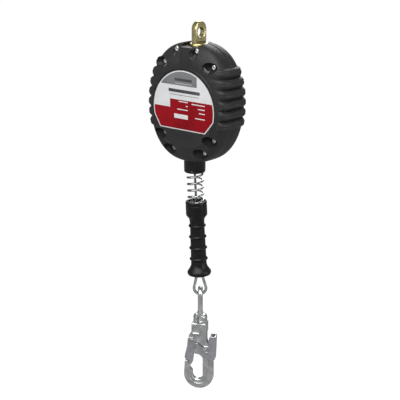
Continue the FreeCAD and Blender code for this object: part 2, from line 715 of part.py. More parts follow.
def teardrop(radius, top, half):
    """A teardrop plate round the thimble's centre, cut off level at a drop, thick both ways from the plane."""
    angle = math.radians(LOOP_HALF_ANGLE)
    side = V(radius * math.cos(angle), -half, -THIMBLE_CENTRE + radius * math.sin(angle))
    leg = (-top - side.z) / math.cos(angle)
    peak = V(side.x - leg * math.sin(angle), -half, -top)
    bottom = V(0, -half, -THIMBLE_CENTRE - radius)
    arc = Part.Arc(V(-side.x, -half, side.z), bottom, side).toShape()
    lines = [Part.makeLine(side, peak), Part.makeLine(peak, V(-peak.x, -half, peak.z)),
             Part.makeLine(V(-peak.x, -half, peak.z), V(-side.x, -half, side.z))]
    return Part.Face(Part.Wire([arc] + lines)).extrude(V(0, 2 * half, 0))


def thimble():
    """The grooved teardrop that keeps the cable's loop open."""
    inside = teardrop(LOOP_R - 2.9, THIMBLE_TOP + 4, THIMBLE_HALF + 1)
    ring = teardrop(LOOP_R + 0.6, THIMBLE_TOP, THIMBLE_HALF).cut(inside)
    return ring.cut(strand(CABLE_R + 0.08))


# Hook

def link_point():
    """The swing axis of the hook's link: on the line, at the middle of the cable's loop."""
    tilt = math.radians(LINE_TILT)
    return NECK_X + SWING_DROP * math.sin(tilt), 0, NECK_BOTTOM - SWING_DROP * math.cos(tilt)


def at_link(shape, yaw):
    """Carries a shape from the hook's own frame to the swing point, turned to a plan angle."""
    return moved(turned(shape, yaw, Z_AXIS), *link_point())


def hook_link():
    """The oval link and the swivel stem below it. The oval stands across the thimble."""
    top = Part.makeTorus(LINK_BEND_R, LINK_BAR_R, ORIGIN, X_AXIS)
    top = top.common(Part.makeBox(60, 60, 30, V(-30, -30, 0)))
    bottom = moved(turned(top, 180, X_AXIS), 0, 0, -LINK_DROP)
    legs = [moved(cylinder(LINK_BAR_R, -LINK_DROP, 0, Z_AXIS), 0, side * LINK_BEND_R, 0) for side in (-1, 1)]
    stem = cylinder(STEM_R, STEM_END, -LINK_DROP - LINK_BEND_R, Z_AXIS)
    head = cylinder(STEM_HEAD_R, STEM_END, STEM_HEAD_TOP, Z_AXIS)
    return top.multiFuse([bottom, stem, head] + legs).removeSplitter()


def swivel_collar():
    """The bearing collar screwed into the hook's block round the stem."""
    bottom, top = COLLAR
    ring = revolved([(0, bottom), (COLLAR_R, bottom), (COLLAR_R, top - 4), (COLLAR_R - 1.2, top - 1.4),
                     (COLLAR_R - 3.4, top), (0, top)])
    plug = cylinder(8.2, bottom - 6.5, bottom, Z_AXIS)
    return ring.fuse(plug).cut(cylinder(STEM_R + 0.08, bottom - 8, top + 1, Z_AXIS))


def chamfered(shape, size, half):
    """Breaks the long edges of a hook plate on both of its faces."""
    edges = []
    for edge in shape.Edges:
        box = edge.BoundBox
        if abs(abs(box.YMin) - half) < 0.01 and box.YLength < 0.01:
            edges.append(edge)
    return shape.makeChamfer(size, edges)


def hook_bend():
    """The spine, bend and nose of the hook."""
    outer_left = V(BEND_X - BEND_OUTER_R, 0, BEND_Z)
    outer_right = V(BEND_X + BEND_OUTER_R, 0, BEND_Z)
    inner_left = V(BEND_X - BEND_INNER_R, 0, BEND_Z)
    inner_right = V(BEND_X + BEND_INNER_R, 0, BEND_Z)
    nose = [V(-11, 0, -131), V(-17, 0, -121.5), V(-26, 0, -120.5), V(-28, 0, -129)]
    spine = [V(24, 0, -124), V(21, 0, -104), V(17, 0, -92), V(7, 0, -92)]
    edges = [Part.makeLine(a, b) for a, b in zip([inner_left] + nose, nose + [outer_left])]
    edges.append(Part.Arc(outer_left, V(BEND_X, 0, BEND_Z - BEND_OUTER_R), outer_right).toShape())
    edges += [Part.makeLine(a, b) for a, b in zip([outer_right] + spine, spine + [inner_right])]
    edges.append(Part.Arc(inner_right, V(BEND_X, 0, BEND_Z - BEND_INNER_R), inner_left).toShape())
    face = Part.Face(Part.Wire(edges))
    face.translate(V(0, -BODY_HALF, 0))
    return chamfered(face.extrude(V(0, 2 * BODY_HALF, 0)), 2.0, BODY_HALF)


def hook_body():
    """Forged hook: swivel block, web with the gate's lug, spine, bend and nose."""
    block = Part.makeBox(25.5, 2 * BLOCK_HALF, 19.5, V(-13.5, -BLOCK_HALF, -69.5))
    uprights = [e for e in block.Edges if e.BoundBox.ZLength > 19]
    block = block.makeChamfer(3.0, uprights)
    lug = [(-13, -67), (-19.5, -75), (-19.5, -88), (-14, -93.5), (-2, -97)]
    back = [(7, -108), (8, -116), (20, -116), (19, -98), (12, -82), (12, -67)]
    web = plate(lug + back, -WEB_HALF, WEB_HALF)
    room = cylinder(8.3, -62.0, -49, Z_AXIS)
    panel = Part.makeBox(13, 1.2, 12, V(-9.5, -BLOCK_HALF - 0.2, -66))
    slot = moved(cylinder(5.4, -1.9, 1.9, Y_AXIS), GATE_PIVOT[0], 0, GATE_PIVOT[1])
    holes = [pin_at(place, PIN_R + 0.02, 20) for place in (GATE_PIVOT, LEVER_PIVOT)]
    holes += [room, panel, moved(panel, 0, 2 * BLOCK_HALF - 0.8, 0), slot]
    body = block.multiFuse([web, hook_bend()])
    return body.cut(Part.makeCompound(holes)).removeSplitter()


def pin_at(place, radius, half):
    """A round pin through the hook's plane at an (x, z) place."""
    return moved(cylinder(radius, -half, half, Y_AXIS), place[0], 0, place[1])


def headed_pin(place, half):
    """A pin with thin flat heads on both ends."""
    head = cylinder(PIN_R + 1.2, half, half + 1.1, Y_AXIS)
    heads = [moved(shape, place[0], 0, place[1]) for shape in (head, turned(head, 180, Z_AXIS))]
    return pin_at(place, PIN_R, half).multiFuse(heads)


def gate():
    """The channel-shaped gate: two cheeks either side of the web, joined below it."""
    inner = WEB_HALF + 0.3
    outer = inner + CHEEK_THICKNESS
    tip = [(-25.5, -109), (-26.5, -117), (-17.3, -119.6), (-11.3, -129.3), (-9, -126), (-9, -108)]
    side = tip + [(-6.5, -96), (-6.5, -83), (-9.5, -78), (-20.5, -78.5), (-22, -95)]
    core = tip + [(-13, -103), (-23, -101)]
    cheeks = [plate(side, -outer, -inner), plate(side, inner, outer)]
    shape = plate(core, -inner - 0.5, inner + 0.5).multiFuse(cheeks)
    return shape.cut(pin_at(GATE_PIVOT, PIN_R + RUNNING_GAP, 20)).removeSplitter()


def lock_lever():
    """The folded thumb lever over the spine: two cheeks and a back."""
    inner = BODY_HALF + 0.4
    outer = inner + CHEEK_THICKNESS
    side = [(1, -88), (19, -73), (27.6, -73), (26, -115), (12, -117.5), (2, -106)]
    back = [(25.9, -73), (27.6, -73), (26, -115), (24.4, -115)]
    cheeks = [plate(side, -outer, -inner), plate(side, inner, outer)]
    shape = plate(back, -inner - 0.5, inner + 0.5).multiFuse(cheeks)
    return shape.cut(pin_at(LEVER_PIVOT, PIN_R + RUNNING_GAP, 20)).removeSplitter()


def gate_spring():
    """Torsion coil in the slot of the gate's lug, round the gate's pin."""
    spring = turned(coil(3.4, 0.5, 1.2, -1.2, 1.2), 90, X_AXIS)
    return moved(spring, GATE_PIVOT[0], 0, GATE_PIVOT[1])


def lever_spring():
    """Compression coil between the spine's shoulder and the lever's back."""
    spring = turned(coil(3.0, 0.5, 2.2, 0.6, 6.8), 90, Y_AXIS)
    return moved(spring, 17.6, 0, -86.0)


def save(name, shape):
    """Writes one sub-part."""
    shape.exportStep("parts/" + name + ".step")


def main():
    os.makedirs("parts", exist_ok=True)

    save("swivel_eye", swivel_eye())
    save("eye_nut", eye_nut())
    save("eye_nut_pin", eye_nut_pin())
    save("thrust_washer", tube(9.0, STUD_R + 0.1, NUT_TOP + 0.05, CROSS_BOTTOM - 0.1, Z_AXIS))

    save("front_cover", cover(-1))
    save("rear_cover", cover(1))
    save("front_label", label())
    save("cover_screws", cover_screws())
    save("cover_inserts", cover_inserts())

    save("frame_crosshead", crosshead())
    save("eye_bush", tube(STUD_R + 1.48, STUD_R + RUNNING_GAP, CROSS_BOTTOM, CROSS_TOP - 0.1, Z_AXIS))
    save("frame_plate_front", frame_plate(FRONT_PLATE, True))
    save("frame_plate_rear", frame_plate(REAR_PLATE, False))
    save("frame_spacers", frame_spacers())
    save("frame_screws", frame_screws())
    save("main_shaft", main_shaft())
    save("shaft_clips", shaft_clips())
    save("spring_arbor", on_axis(tube(ARBOR_R, SHAFT_R + 0.02, SPRING_STRIP[0], SPRING_STRIP[1], Y_AXIS)))

    save("friction_disc_front", disc(RATCHET_OUTER_R, 51.0, DISC_FRONT))
    save("friction_disc_rear", disc(RATCHET_OUTER_R, 51.0, DISC_REAR))
    save("pressure_ring", pressure_ring())
    save("brake_screws", brake_screws())
    save("ratchet_ring", ratchet_ring())

    save("drum_hub", drum_hub())
    save("drum_flange_rear", drum_flange_rear())
    save("drum_bushes", drum_bushes())
    save("cable_winding", disc(WINDING_R, CORE_R + 0.1, WINDING))
    save("spring_case", spring_case())
    save("spring_case_cover", disc(CASE_R, SHAFT_R + 2.0, CASE_COVER))
    save("power_spring", power_spring())
    save("drum_screws", drum_screws())
    save("pawl_pins", pawl_pins())
    save("pawl_1", pawl(0))
    save("pawl_2", pawl(180))

    save("outlet_neck", outlet_neck())
    save("cable_guide", cable_guide())

    save("cable", in_plane(strand(CABLE_R)))
    spring = coil(SPRING_COIL_R, SPRING_WIRE_R, SPRING_PITCH, -SPRING_END, -SPRING_START)
    sleeve = tube(CUP_BORE_R - 0.05, CUP_BORE_R - 0.75, -CUP_FLOOR + 0.1, -CUP_TOP - 1.0, Z_AXIS)
    seat = tube(CUP_BORE_R - 0.85, CABLE_R + 0.3, -CUP_FLOOR + 0.1, -SPRING_END - 1.4, Z_AXIS)
    save("cushion_spring", on_line(spring))
    save("cup_sleeve", on_line(sleeve))
    save("spring_seat", on_line(seat))
    save("cable_stop", on_line(tube(5.0, CABLE_R + 0.03, -79.5, -CUP_FLOOR - 0.1, Z_AXIS)))
    save("handle_grip", on_line(handle_grip()))
    save("ferrule", in_plane(ferrule()))
    save("thimble", in_plane(thimble()))

    save("hook_link", at_link(hook_link(), THIMBLE_YAW))
    save("hook_body", at_link(hook_body(), HOOK_YAW))
    save("swivel_collar", at_link(swivel_collar(), HOOK_YAW))
    save("gate", at_link(gate(), HOOK_YAW))
    save("gate_pin", at_link(headed_pin(GATE_PIVOT, WEB_HALF + 0.3 + CHEEK_THICKNESS + 0.1), HOOK_YAW))
    save("gate_spring", at_link(gate_spring(), HOOK_YAW))
    save("lock_lever", at_link(lock_lever(), HOOK_YAW))
    save("lever_pin", at_link(headed_pin(LEVER_PIVOT, BODY_HALF + 0.4 + CHEEK_THICKNESS + 0.1), HOOK_YAW))
    save("lever_spring", at_link(lever_spring(), HOOK_YAW))


main()
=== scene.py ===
import json
import math

import bmesh
import bpy
import numpy as np
from mathutils import Matrix, Vector


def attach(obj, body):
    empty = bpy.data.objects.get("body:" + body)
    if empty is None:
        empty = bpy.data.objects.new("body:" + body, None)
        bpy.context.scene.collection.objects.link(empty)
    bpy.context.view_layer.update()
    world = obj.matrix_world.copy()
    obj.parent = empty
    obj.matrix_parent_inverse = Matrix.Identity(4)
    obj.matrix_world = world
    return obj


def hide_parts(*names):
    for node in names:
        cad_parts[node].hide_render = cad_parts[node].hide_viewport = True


# Self retracting lifeline around its CAD frame. Lengths below are in millimetres and become metres in the
# meshes. The frame's origin is the anchor eye's hole, +Z is up and -Y is the label side.

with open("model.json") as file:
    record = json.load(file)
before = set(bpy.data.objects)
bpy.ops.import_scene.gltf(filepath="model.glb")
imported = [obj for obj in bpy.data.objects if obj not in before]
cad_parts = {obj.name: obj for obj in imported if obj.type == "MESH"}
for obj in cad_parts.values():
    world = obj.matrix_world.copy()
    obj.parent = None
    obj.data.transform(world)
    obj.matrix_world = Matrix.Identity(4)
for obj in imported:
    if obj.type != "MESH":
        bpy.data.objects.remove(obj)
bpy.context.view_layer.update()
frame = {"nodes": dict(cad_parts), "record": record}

MM = 0.001

# Eye
EYE_R = 12.5
EYE_HOLE_R = 8.5
EYE_HALF_THICKNESS = 5.2
EYE_CENTRE_Z = 5.0

# Housing outline and the disc on its face
HOUSING_X = -5.0
HOUSING_Z = -108.0
HALF_WIDTH = 77.5
TOP_HEIGHT = 93.0
BOTTOM_HEIGHT = 100.0
OUTLINE_POWER = 2.5
LEAN = 0.03
AROUND = 600
ACROSS = 34
SHOULDER_DEPTH = 31.3
DISC_Z = -120.0
DISC_R = 68.0
DRUM_Z = -96.0
CAVITY_R = 61.0
CAVITY_DEPTH = 29.2
RIB_PITCH = 16.4
RIGHT_RIBS = (-57.0, 6)
LEFT_RIBS = (-49.0, 7)
RIB_CREST = 4.8
RIB_VALLEY = -2.6
RIB_FADE = 4.0
RIB_GROOVE = 0.14
RIB_GROOVE_HALF = 0.1
RIB_SHARPNESS = 0.62
RIB_END = (0.6, 1.0)

# How square the shoulder is, and the flat tab under the eye: where it ends sideways, and where it starts
SHOULDER_POWER = 0.52
TAB_POWER = 0.004
TAB_SIDES = (10.0, 15.0)
TAB_START = (-80.0, -60.0)

# Cover screws: (half distance, height) of each pair, and the (depth, half width, half height) steps of the
# pockets they sit in
SCREW_PAIRS = ((20.5, -26.0), (50.0, -49.0), (51.0, -165.0), (32.0, -188.0))
POCKET_FLOOR = 15.5
TOP_PAIR = -30.0
TOP_FLOOR = 21.5
TOP_DROP = 7.0
POCKET_STEPS = ((POCKET_FLOOR, 4.9, 4.9), (18.0, 5.8, 5.2), (20.5, 8.8, 6.6), (24.0, 12.0, 8.0),
                (27.0, 13.4, 8.6), (34.0, 14.2, 9.0))
TOP_POCKET_STEPS = ((TOP_FLOOR, 4.9, 4.9), (25.0, 5.2, 5.8), (28.9, 5.5, 7.2), (29.1, 8.8, 8.0),
                    (34.0, 10.4, 9.2))
POCKET_SIDES = 48

# How the covers' parting edge is drawn in, and how the shoulder's rows start and crowd towards it
EDGE_SHRINK = 0.993
EDGE_START = math.radians(0.35)
ROW_CROWDING = 1.25

# Rooms cut in the covers: the frame's crosshead, and the saddle round the eye's flange in front and behind
CROSSHEAD_HALF = 9.2
CROSSHEAD_DEPTH = 28.85
CROSSHEAD_HEIGHTS = (-44, -21.2)
SADDLE_HALF = 18
SADDLE_BOTTOM = -20.9
FRONT_SADDLE = (-40, -1)
REAR_SADDLE = (14, 40)

# Label
LABEL_FACE = 32.3
LABEL_R = 62.5
LABEL_SIDE_DROP = 13.0
LABEL_CUT_DROP = 33.0
LABEL_CUT_RIGHT = 44.6
LABEL_CUT_LEFT = 49.0
PRINT_MARGIN = 1.8
PRINT_DROP_MARGIN = 1.6
PRINT_CUT_MARGIN = 1.4
PRINT_STEP = (-27.6, 1.9, 15.6)
BAND_LEVEL = 38.5
BAND_RIGHT = 28.0

# Bars in place of the label's print: left, right, low and high about the label's centre
WHITE_BARS = ((-9.2, 9.5, 12.2, 13.8), (5.4, 9.5, 5.8, 7.4), (-12.5, 9.5, -0.6, 1.0),
              (-19.0, 9.8, -14.6, -7.6), (17.4, 44.4, 10.6, 12.2), (30.4, 44.4, 4.2, 5.8),
              (32.4, 44.4, -2.2, -0.6), (24.6, 44.4, -11.0, -9.4), (-17.0, 17.5, 41.2, 41.8))
DARK_BARS = ((-18.0, 18.0, 45.4, 49.6), (-30.5, 34.0, 27.0, 32.0))
GREY_BARS = ((-28.0, 32.0, 22.6, 23.4),)

# Line under the outlet, measured down along its own axis
NECK_X = -9.0
NECK_TOP = -198.0
NECK_BOTTOM = -228.0
LINE_TILT = 3.2
CABLE_TOP = -78.0
STRAND_OFFSET = 2.2
LOOP_CENTRE = -200.5
LOOP_R = 10.5
LOOP_HALF_ANGLE = 14.0
THIMBLE_TOP = -172.0
SWING_DROP = 211.0
THIMBLE_YAW = 40.0
HOOK_YAW = 28.0
SPRING_SWELL = 0.4
GRIP_RINGS = (91.0, 110.0, 129.0, 148.0)
GRIP_RING_HALF = 2.7
GRIP_RING_PROUD = 2.4

# The cable's strands round a core
STRANDS = 6
STRAND_R = 0.71
STRAND_PITCH_R = 1.29
LAY = 22.0
STRAND_SIDES = 7
STATION_STEP = 1.3

# Hook, in its own plane from the link's swing axis
GATE_PIVOT = (-13.0, -84.0)
LEVER_PIVOT = (13.0, -104.0)
WEB_HALF = 4.2
BODY_HALF = 6.5
CHEEK = 1.7
GATE_GAP = 0.3
LEVER_GAP = 0.4
RIVET_CLEAR = 0.1

# Camera
AZIMUTH = 40.0
ELEVATION = 16.5
DISTANCE = 1.8
AIM_Z = -0.2746
AIM_RIGHT = 0.0016
LENS = 98.9
FLOOR_Z = -1.15

# Light: (name, kind, azimuth, elevation, size, power), the room's own light, and how white the floor looks
LIGHT_DISTANCE = 1.5
LIGHTS = (("sky", "SUN", 25, 58, math.radians(50), 2.4), ("key", "AREA", -12, 28, 0.9, 7.5),
          ("side", "AREA", 105, 12, 0.7, 6), ("back", "AREA", 210, 35, 0.8, 8))
ROOM_LIGHT = 0.19
FLOOR_GLOW = 0.75


# Places

def line_matrix(yaw=0.0):
    """From the line's own axes to the frame."""
    tilt = Matrix.Rotation(math.radians(-LINE_TILT), 4, "Y")
    turn = Matrix.Rotation(math.radians(yaw), 4, "Z")
    return Matrix.Translation((NECK_X * MM, 0, NECK_BOTTOM * MM)) @ tilt @ turn


def hook_matrix(yaw):
    """From the hook's own axes to the frame."""
    swing = line_matrix() @ Vector((0, 0, -SWING_DROP * MM))
    return Matrix.Translation(swing) @ Matrix.Rotation(math.radians(yaw), 4, "Z")


# Materials

def graph(name):
    """A new node material with its shader, and object coordinates to paint by."""
    mat = bpy.data.materials.new(name)
    mat.use_nodes = True
    nodes = mat.node_tree.nodes
    return mat, nodes, mat.node_tree.links, nodes["Principled BSDF"], nodes.new("ShaderNodeTexCoord")


def noise(nodes, links, vector, scale, detail):
    """A noise texture over the object."""
    texture = nodes.new("ShaderNodeTexNoise")
    texture.inputs["Scale"].default_value = scale
    texture.inputs["Detail"].default_value = detail
    links.new(vector, texture.inputs["Vector"])
    return texture.outputs["Fac"]


def spread(nodes, links, value, low, high):
    """A noise value carried to the span from low to high."""
    scale = nodes.new("ShaderNodeMapRange")
    scale.inputs["From Min"].default_value = 0.3
    scale.inputs["From Max"].default_value = 0.7
    scale.inputs["To Min"].default_value = low
    scale.inputs["To Max"].default_value = high
    links.new(value, scale.inputs["Value"])
    return scale.outputs["Result"]


def surface(name, dark, light, rough, metallic=0.0, broad=35.0, fine=900.0, bump=0.15, gloss=0.5):
    """A mottled surface with a fine grain: two colours, a roughness span and a bump of the grain."""
    mat, nodes, links, shader, coords = graph(name)
    place = coords.outputs["Object"]
    patches = noise(nodes, links, place, broad, 5.0)
    grain = noise(nodes, links, place, fine, 3.0)
    ramp = nodes.new("ShaderNodeValToRGB")
    ramp.color_ramp.elements[0].position = 0.32
    ramp.color_ramp.elements[0].color = (*dark, 1)
    ramp.color_ramp.elements[1].position = 0.68
    ramp.color_ramp.elements[1].color = (*light, 1)
    links.new(patches, ramp.inputs["Fac"])
    links.new(ramp.outputs["Color"], shader.inputs["Base Color"])
    links.new(spread(nodes, links, grain, *rough), shader.inputs["Roughness"])
    relief = nodes.new("ShaderNodeBump")
    relief.inputs["Strength"].default_value = bump
    relief.inputs["Distance"].default_value = 0.0004
    links.new(grain, relief.inputs["Height"])
    links.new(relief.outputs["Normal"], shader.inputs["Normal"])
    shader.inputs["Metallic"].default_value = metallic
    shader.inputs["Specular IOR Level"].default_value = gloss
    return mat


MATERIALS = {
    "yellow_zinc": surface("yellow_zinc", (0.70, 0.62, 0.31), (0.88, 0.80, 0.46), (0.15, 0.28), 1.0, 130,
                           1500, 0.08),
    "charcoal_plastic": surface("charcoal_plastic", (0.018, 0.0183, 0.0185), (0.027, 0.0273, 0.0275),
                                (0.42, 0.58), 0.0, 45, 1400, 0.35, 0.4),
    "label_film": surface("label_film", (0.70, 0.71, 0.72), (0.78, 0.78, 0.79), (0.28, 0.38), 0.0, 60, 700,
                          0.03),
    "zinc_screw": surface("zinc_screw", (0.74, 0.75, 0.76), (0.92, 0.92, 0.92), (0.18, 0.32), 1.0, 300,
                          2500, 0.06),
    "plate_steel": surface("plate_steel", (0.44, 0.45, 0.46), (0.60, 0.61, 0.62), (0.30, 0.48), 1.0, 80,
                           1800, 0.10),
    "aluminium": surface("aluminium", (0.66, 0.67, 0.68), (0.80, 0.80, 0.81), (0.38, 0.55), 1.0, 60, 1300,
                         0.20),
    "bronze": surface("bronze", (0.52, 0.36, 0.17), (0.70, 0.52, 0.28), (0.25, 0.40), 1.0, 90, 1500, 0.08),
    "friction_lining": surface("friction_lining", (0.12, 0.09, 0.07), (0.24, 0.19, 0.15), (0.75, 0.92),
                               0.0, 700, 2200, 0.45),
    "spring_steel": surface("spring_steel", (0.36, 0.38, 0.41), (0.52, 0.54, 0.57), (0.22, 0.36), 1.0, 70,
                            1600, 0.08),
    "black_nylon": surface("black_nylon", (0.005, 0.005, 0.006), (0.009, 0.009, 0.010), (0.10, 0.17),
                           0.0, 90, 900, 0.03, 0.5),
    "black_rubber": surface("black_rubber", (0.005, 0.005, 0.006), (0.010, 0.010, 0.011), (0.28, 0.42),
                            0.0, 80, 1500, 0.25, 0.3),
    "wire_rope": surface("wire_rope", (0.26, 0.27, 0.28), (0.50, 0.51, 0.52), (0.26, 0.44), 1.0, 260, 2200,
                         0.12),
    "bright_spring": surface("bright_spring", (0.36, 0.37, 0.38), (0.58, 0.59, 0.60), (0.14, 0.26), 1.0,
                             160, 2000, 0.05),
    "forged_zinc": surface("forged_zinc", (0.54, 0.56, 0.56), (0.88, 0.89, 0.89), (0.22, 0.42), 1.0, 110,
                           1100, 0.30),
    "sheet_zinc": surface("sheet_zinc", (0.48, 0.49, 0.52), (0.74, 0.75, 0.78), (0.20, 0.34), 1.0, 130,
                          1600, 0.12),
}
RED_PRINT = surface("red_print", (0.24, 0.002, 0.007), (0.33, 0.004, 0.011), (0.26, 0.36), 0.0, 25, 700,
                    0.03, 0.2)
GREY_PRINT = surface("grey_print", (0.16, 0.165, 0.17), (0.23, 0.235, 0.24), (0.28, 0.38), 0.0, 30, 700,
                     0.03)
DARK_PRINT = surface("dark_print", (0.045, 0.05, 0.05), (0.08, 0.085, 0.085), (0.28, 0.40), 0.0, 60, 700,
                     0.03)


# Meshes

def finished(build):
    """A mesh from a bmesh, with its normals outwards."""
    bmesh.ops.recalc_face_normals(build, faces=build.faces)
    data = bpy.data.meshes.new("part")
    build.to_mesh(data)
    build.free()
    return data


def lathe(profile, segments=72, closed=True):
    """A ring turned about Z from (radius, height) points. Points on the axis become poles."""
    build = bmesh.new()
    rings = []
    for radius, z in profile:
        if radius < 1e-6:
            rings.append([build.verts.new((0, 0, z * MM))])
            continue
        ring = []
        for i in range(segments):
            angle = 2 * math.pi * i / segments
            ring.append(build.verts.new((radius * MM * math.cos(angle), radius * MM * math.sin(angle),
                                         z * MM)))
        rings.append(ring)
    pairs = list(zip(rings, rings[1:]))
    if closed:
        pairs.append((rings[-1], rings[0]))
    for first, second in pairs:
        for i in range(segments):
            j = (i + 1) % segments
            corners = [first[i % len(first)], first[j % len(first)], second[j % len(second)],
                       second[i % len(second)]]
            corners = list(dict.fromkeys(corners))
            if len(corners) > 2:
                build.faces.new(corners)
    return finished(build)


def slab(outline, half, bevel, holes=()):
    """A plate in the XZ plane, as thick as half each way along Y, with rounded edges."""
    curve = bpy.data.curves.new("slab", "CURVE")
    curve.dimensions = "2D"
    curve.fill_mode = "BOTH"
    curve.extrude = (half - bevel) * MM
    curve.bevel_depth = bevel * MM
    curve.bevel_resolution = 3
    curve.offset = -bevel * MM
    for loop in [outline, *holes]:
        spline = curve.splines.new("POLY")
        spline.points.add(len(loop) - 1)
        spline.use_cyclic_u = True
        for point, (x, z) in zip(spline.points, loop):
            point.co = (x * MM, z * MM, 0, 1)
    holder = bpy.data.objects.new("slab", curve)
    bpy.context.scene.collection.objects.link(holder)
    bpy.context.view_layer.update()
    raw = bpy.data.meshes.new_from_object(holder.evaluated_get(bpy.context.evaluated_depsgraph_get()))
    bpy.data.objects.remove(holder)
    bpy.data.curves.remove(curve)
    build = bmesh.new()
    build.from_mesh(raw)
    bpy.data.meshes.remove(raw)
    bmesh.ops.remove_doubles(build, verts=build.verts, dist=1e-6)
    bmesh.ops.transform(build, matrix=Matrix.Rotation(math.radians(90), 4, "X"), verts=build.verts)
    return finished(build)


def moved(data, matrix):
    """The mesh carried by a matrix."""
    data.transform(matrix)
    return data


def shift(x, y, z):
    return Matrix.Translation((x * MM, y * MM, z * MM))


def arc(centre, radius, start, end, steps):
    """Points of an arc in the XZ plane, in degrees."""
    points = []
    for i in range(steps + 1):
        angle = math.radians(start + (end - start) * i / steps)
        points.append((centre[0] + radius * math.cos(angle), centre[1] + radius * math.sin(angle)))
    return points


def rounded(corners, radius, steps=4):
    """A polygon with its corners rounded."""
    points = []
    count = len(corners)
    for i in range(count):
        here = Vector(corners[i])
        back = Vector(corners[i - 1]) - here
        ahead = Vector(corners[(i + 1) % count]) - here
        reach = min(radius, back.length * 0.4, ahead.length * 0.4)
        start = here + back.normalized() * reach
        end = here + ahead.normalized() * reach
        for k in range(steps + 1):
            t = k / steps
            point = start * (1 - t) ** 2 + here * (2 * t * (1 - t)) + end * t ** 2
            points.append((point.x, point.y))
    return points


def sweep(path, profile, closed_path=False):
    """A bar along points in the XZ plane. The profile is (outwards, along Y) points, outwards being left."""
    build = bmesh.new()
    rings = []
    count = len(path)
    for i, (x, z) in enumerate(path):
        before = path[i - 1] if i or closed_path else path[0]
        after = path[(i + 1) % count] if i < count - 1 or closed_path else path[-1]
        along = Vector((after[0] - before[0], after[1] - before[1])).normalized()
        rings.append([build.verts.new(((x - along.y * out) * MM, y * MM, (z + along.x * out) * MM))
                      for out, y in profile])
    pairs = list(zip(rings, rings[1:]))
    if closed_path:
        pairs.append((rings[-1], rings[0]))
    size = len(profile)
    for first, second in pairs:
        for i in range(size):
            j = (i + 1) % size
            build.faces.new((first[i], first[j], second[j], second[i]))
    if not closed_path:
        build.faces.new(rings[0])
        build.faces.new(rings[-1])
    return finished(build)


def piece(name, parts, body, slot, *replaced):
    """One named object from (mesh, material) pairs, riding on a body in place of the nodes it replaces."""
    build = bmesh.new()
    materials = []
    for data, mat in parts:
        if mat not in materials:
            materials.append(mat)
        start = len(build.faces)
        build.from_mesh(data)
        build.faces.ensure_lookup_table()
        for face in build.faces[start:]:
            face.material_index = materials.index(mat)
            face.smooth = True
        bpy.data.meshes.remove(data)
    whole = bpy.data.meshes.new(name)
    build.to_mesh(whole)
    build.free()
    for mat in materials:
        whole.materials.append(mat)
    whole.set_sharp_from_angle(angle=math.radians(38))
    obj = bpy.data.objects.new(name, whole)
    bpy.context.scene.collection.objects.link(obj)
    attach(obj, body)
    if replaced:
        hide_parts(*replaced)
    return obj


def cut(data, cutters):
    """The mesh with each cutter's room taken out."""
    holder = bpy.data.objects.new("cut", data)
    bpy.context.scene.collection.objects.link(holder)
    tools = []
    for cutter in cutters:
        tool = bpy.data.objects.new("cutter", cutter)
        bpy.context.scene.collection.objects.link(tool)
        modifier = holder.modifiers.new("cut", "BOOLEAN")
        modifier.operation = "DIFFERENCE"
        modifier.solver = "EXACT"
        modifier.object = tool
        tools.append(tool)
    bpy.context.view_layer.update()
    result = bpy.data.meshes.new_from_object(holder.evaluated_get(bpy.context.evaluated_depsgraph_get()))
    for obj in [holder, *tools]:
        bpy.data.objects.remove(obj)
    return result


# Housing covers

def smoothstep(value, low, high):
    t = min(1.0, max(0.0, (value - low) / (high - low)))
    return t * t * (3 - 2 * t)


def rib(x, z):
    """How far a flank stands proud at a height: lobes with a groove in each and narrow valleys between."""
    first, count = RIGHT_RIBS if x > HOUSING_X else LEFT_RIBS
    top = first + RIB_PITCH / 2
    bottom = top - count * RIB_PITCH
    if not bottom < z < top:
        return 0.0
    lobe = abs(math.cos(math.pi * (z - first) / RIB_PITCH)) ** RIB_SHARPNESS
    phase = (z - first) / RIB_PITCH
    lobe -= RIB_GROOVE * max(0.0, 1 - ((phase - round(phase)) / RIB_GROOVE_HALF) ** 2)
    fade = smoothstep(z, bottom, bottom + RIB_FADE) * (1 - smoothstep(z, top - RIB_FADE, top))
    return (RIB_VALLEY + (RIB_CREST - RIB_VALLEY) * lobe) * fade


def cover_point(angle, theta, side):
    """A point of the cover's shoulder, from the parting edge at theta 0 to the disc's edge at 90 degrees."""
    cos, sin = math.cos(angle), math.sin(angle)
    wide = math.copysign(abs(cos) ** (2 / OUTLINE_POWER), cos)
    high = math.copysign(abs(sin) ** (2 / OUTLINE_POWER), sin)
    height = TOP_HEIGHT if sin > 0 else BOTTOM_HEIGHT
    inward = 1 - math.cos(theta)
    x = HOUSING_X + (wide * HALF_WIDTH + LEAN * high * height) * (1 - inward) + cos * DISC_R * inward
    z = (HOUSING_Z + high * height) * (1 - inward) + (DISC_Z + sin * DISC_R) * inward
    proud = rib(x, z) * (1 - smoothstep(inward, *RIB_END))
    tab = (1 - smoothstep(abs(x), *TAB_SIDES)) * smoothstep(z, *TAB_START)
    power = SHOULDER_POWER * (1 - tab) + TAB_POWER * tab
    depth = SHOULDER_DEPTH * math.sin(theta) ** power
    slope = OUTLINE_POWER - 1
    normal = Vector((math.copysign(abs(wide) ** slope, cos) / HALF_WIDTH,
                     math.copysign(abs(high) ** slope, sin) / height)).normalized()
    return ((x + normal.x * proud) * MM, side * depth * MM, (z + normal.y * proud) * MM)


def cover_face(side):
    """The (radius, depth) steps of the disc, from its edge inwards."""
    if side < 0:
        return ((67.8, 31.5), (67.4, 32.3), (66.6, 32.5), (65.6, 32.4), (65.1, 31.5), (63.6, 31.5),
                (63.2, 32.3), (50.0, 32.3), (25.0, 32.3))
    return ((67.7, 31.2), (67.0, 31.5), (60.0, 31.5), (59.4, 30.9), (53.0, 30.9), (52.4, 31.5), (25.0, 31.5))


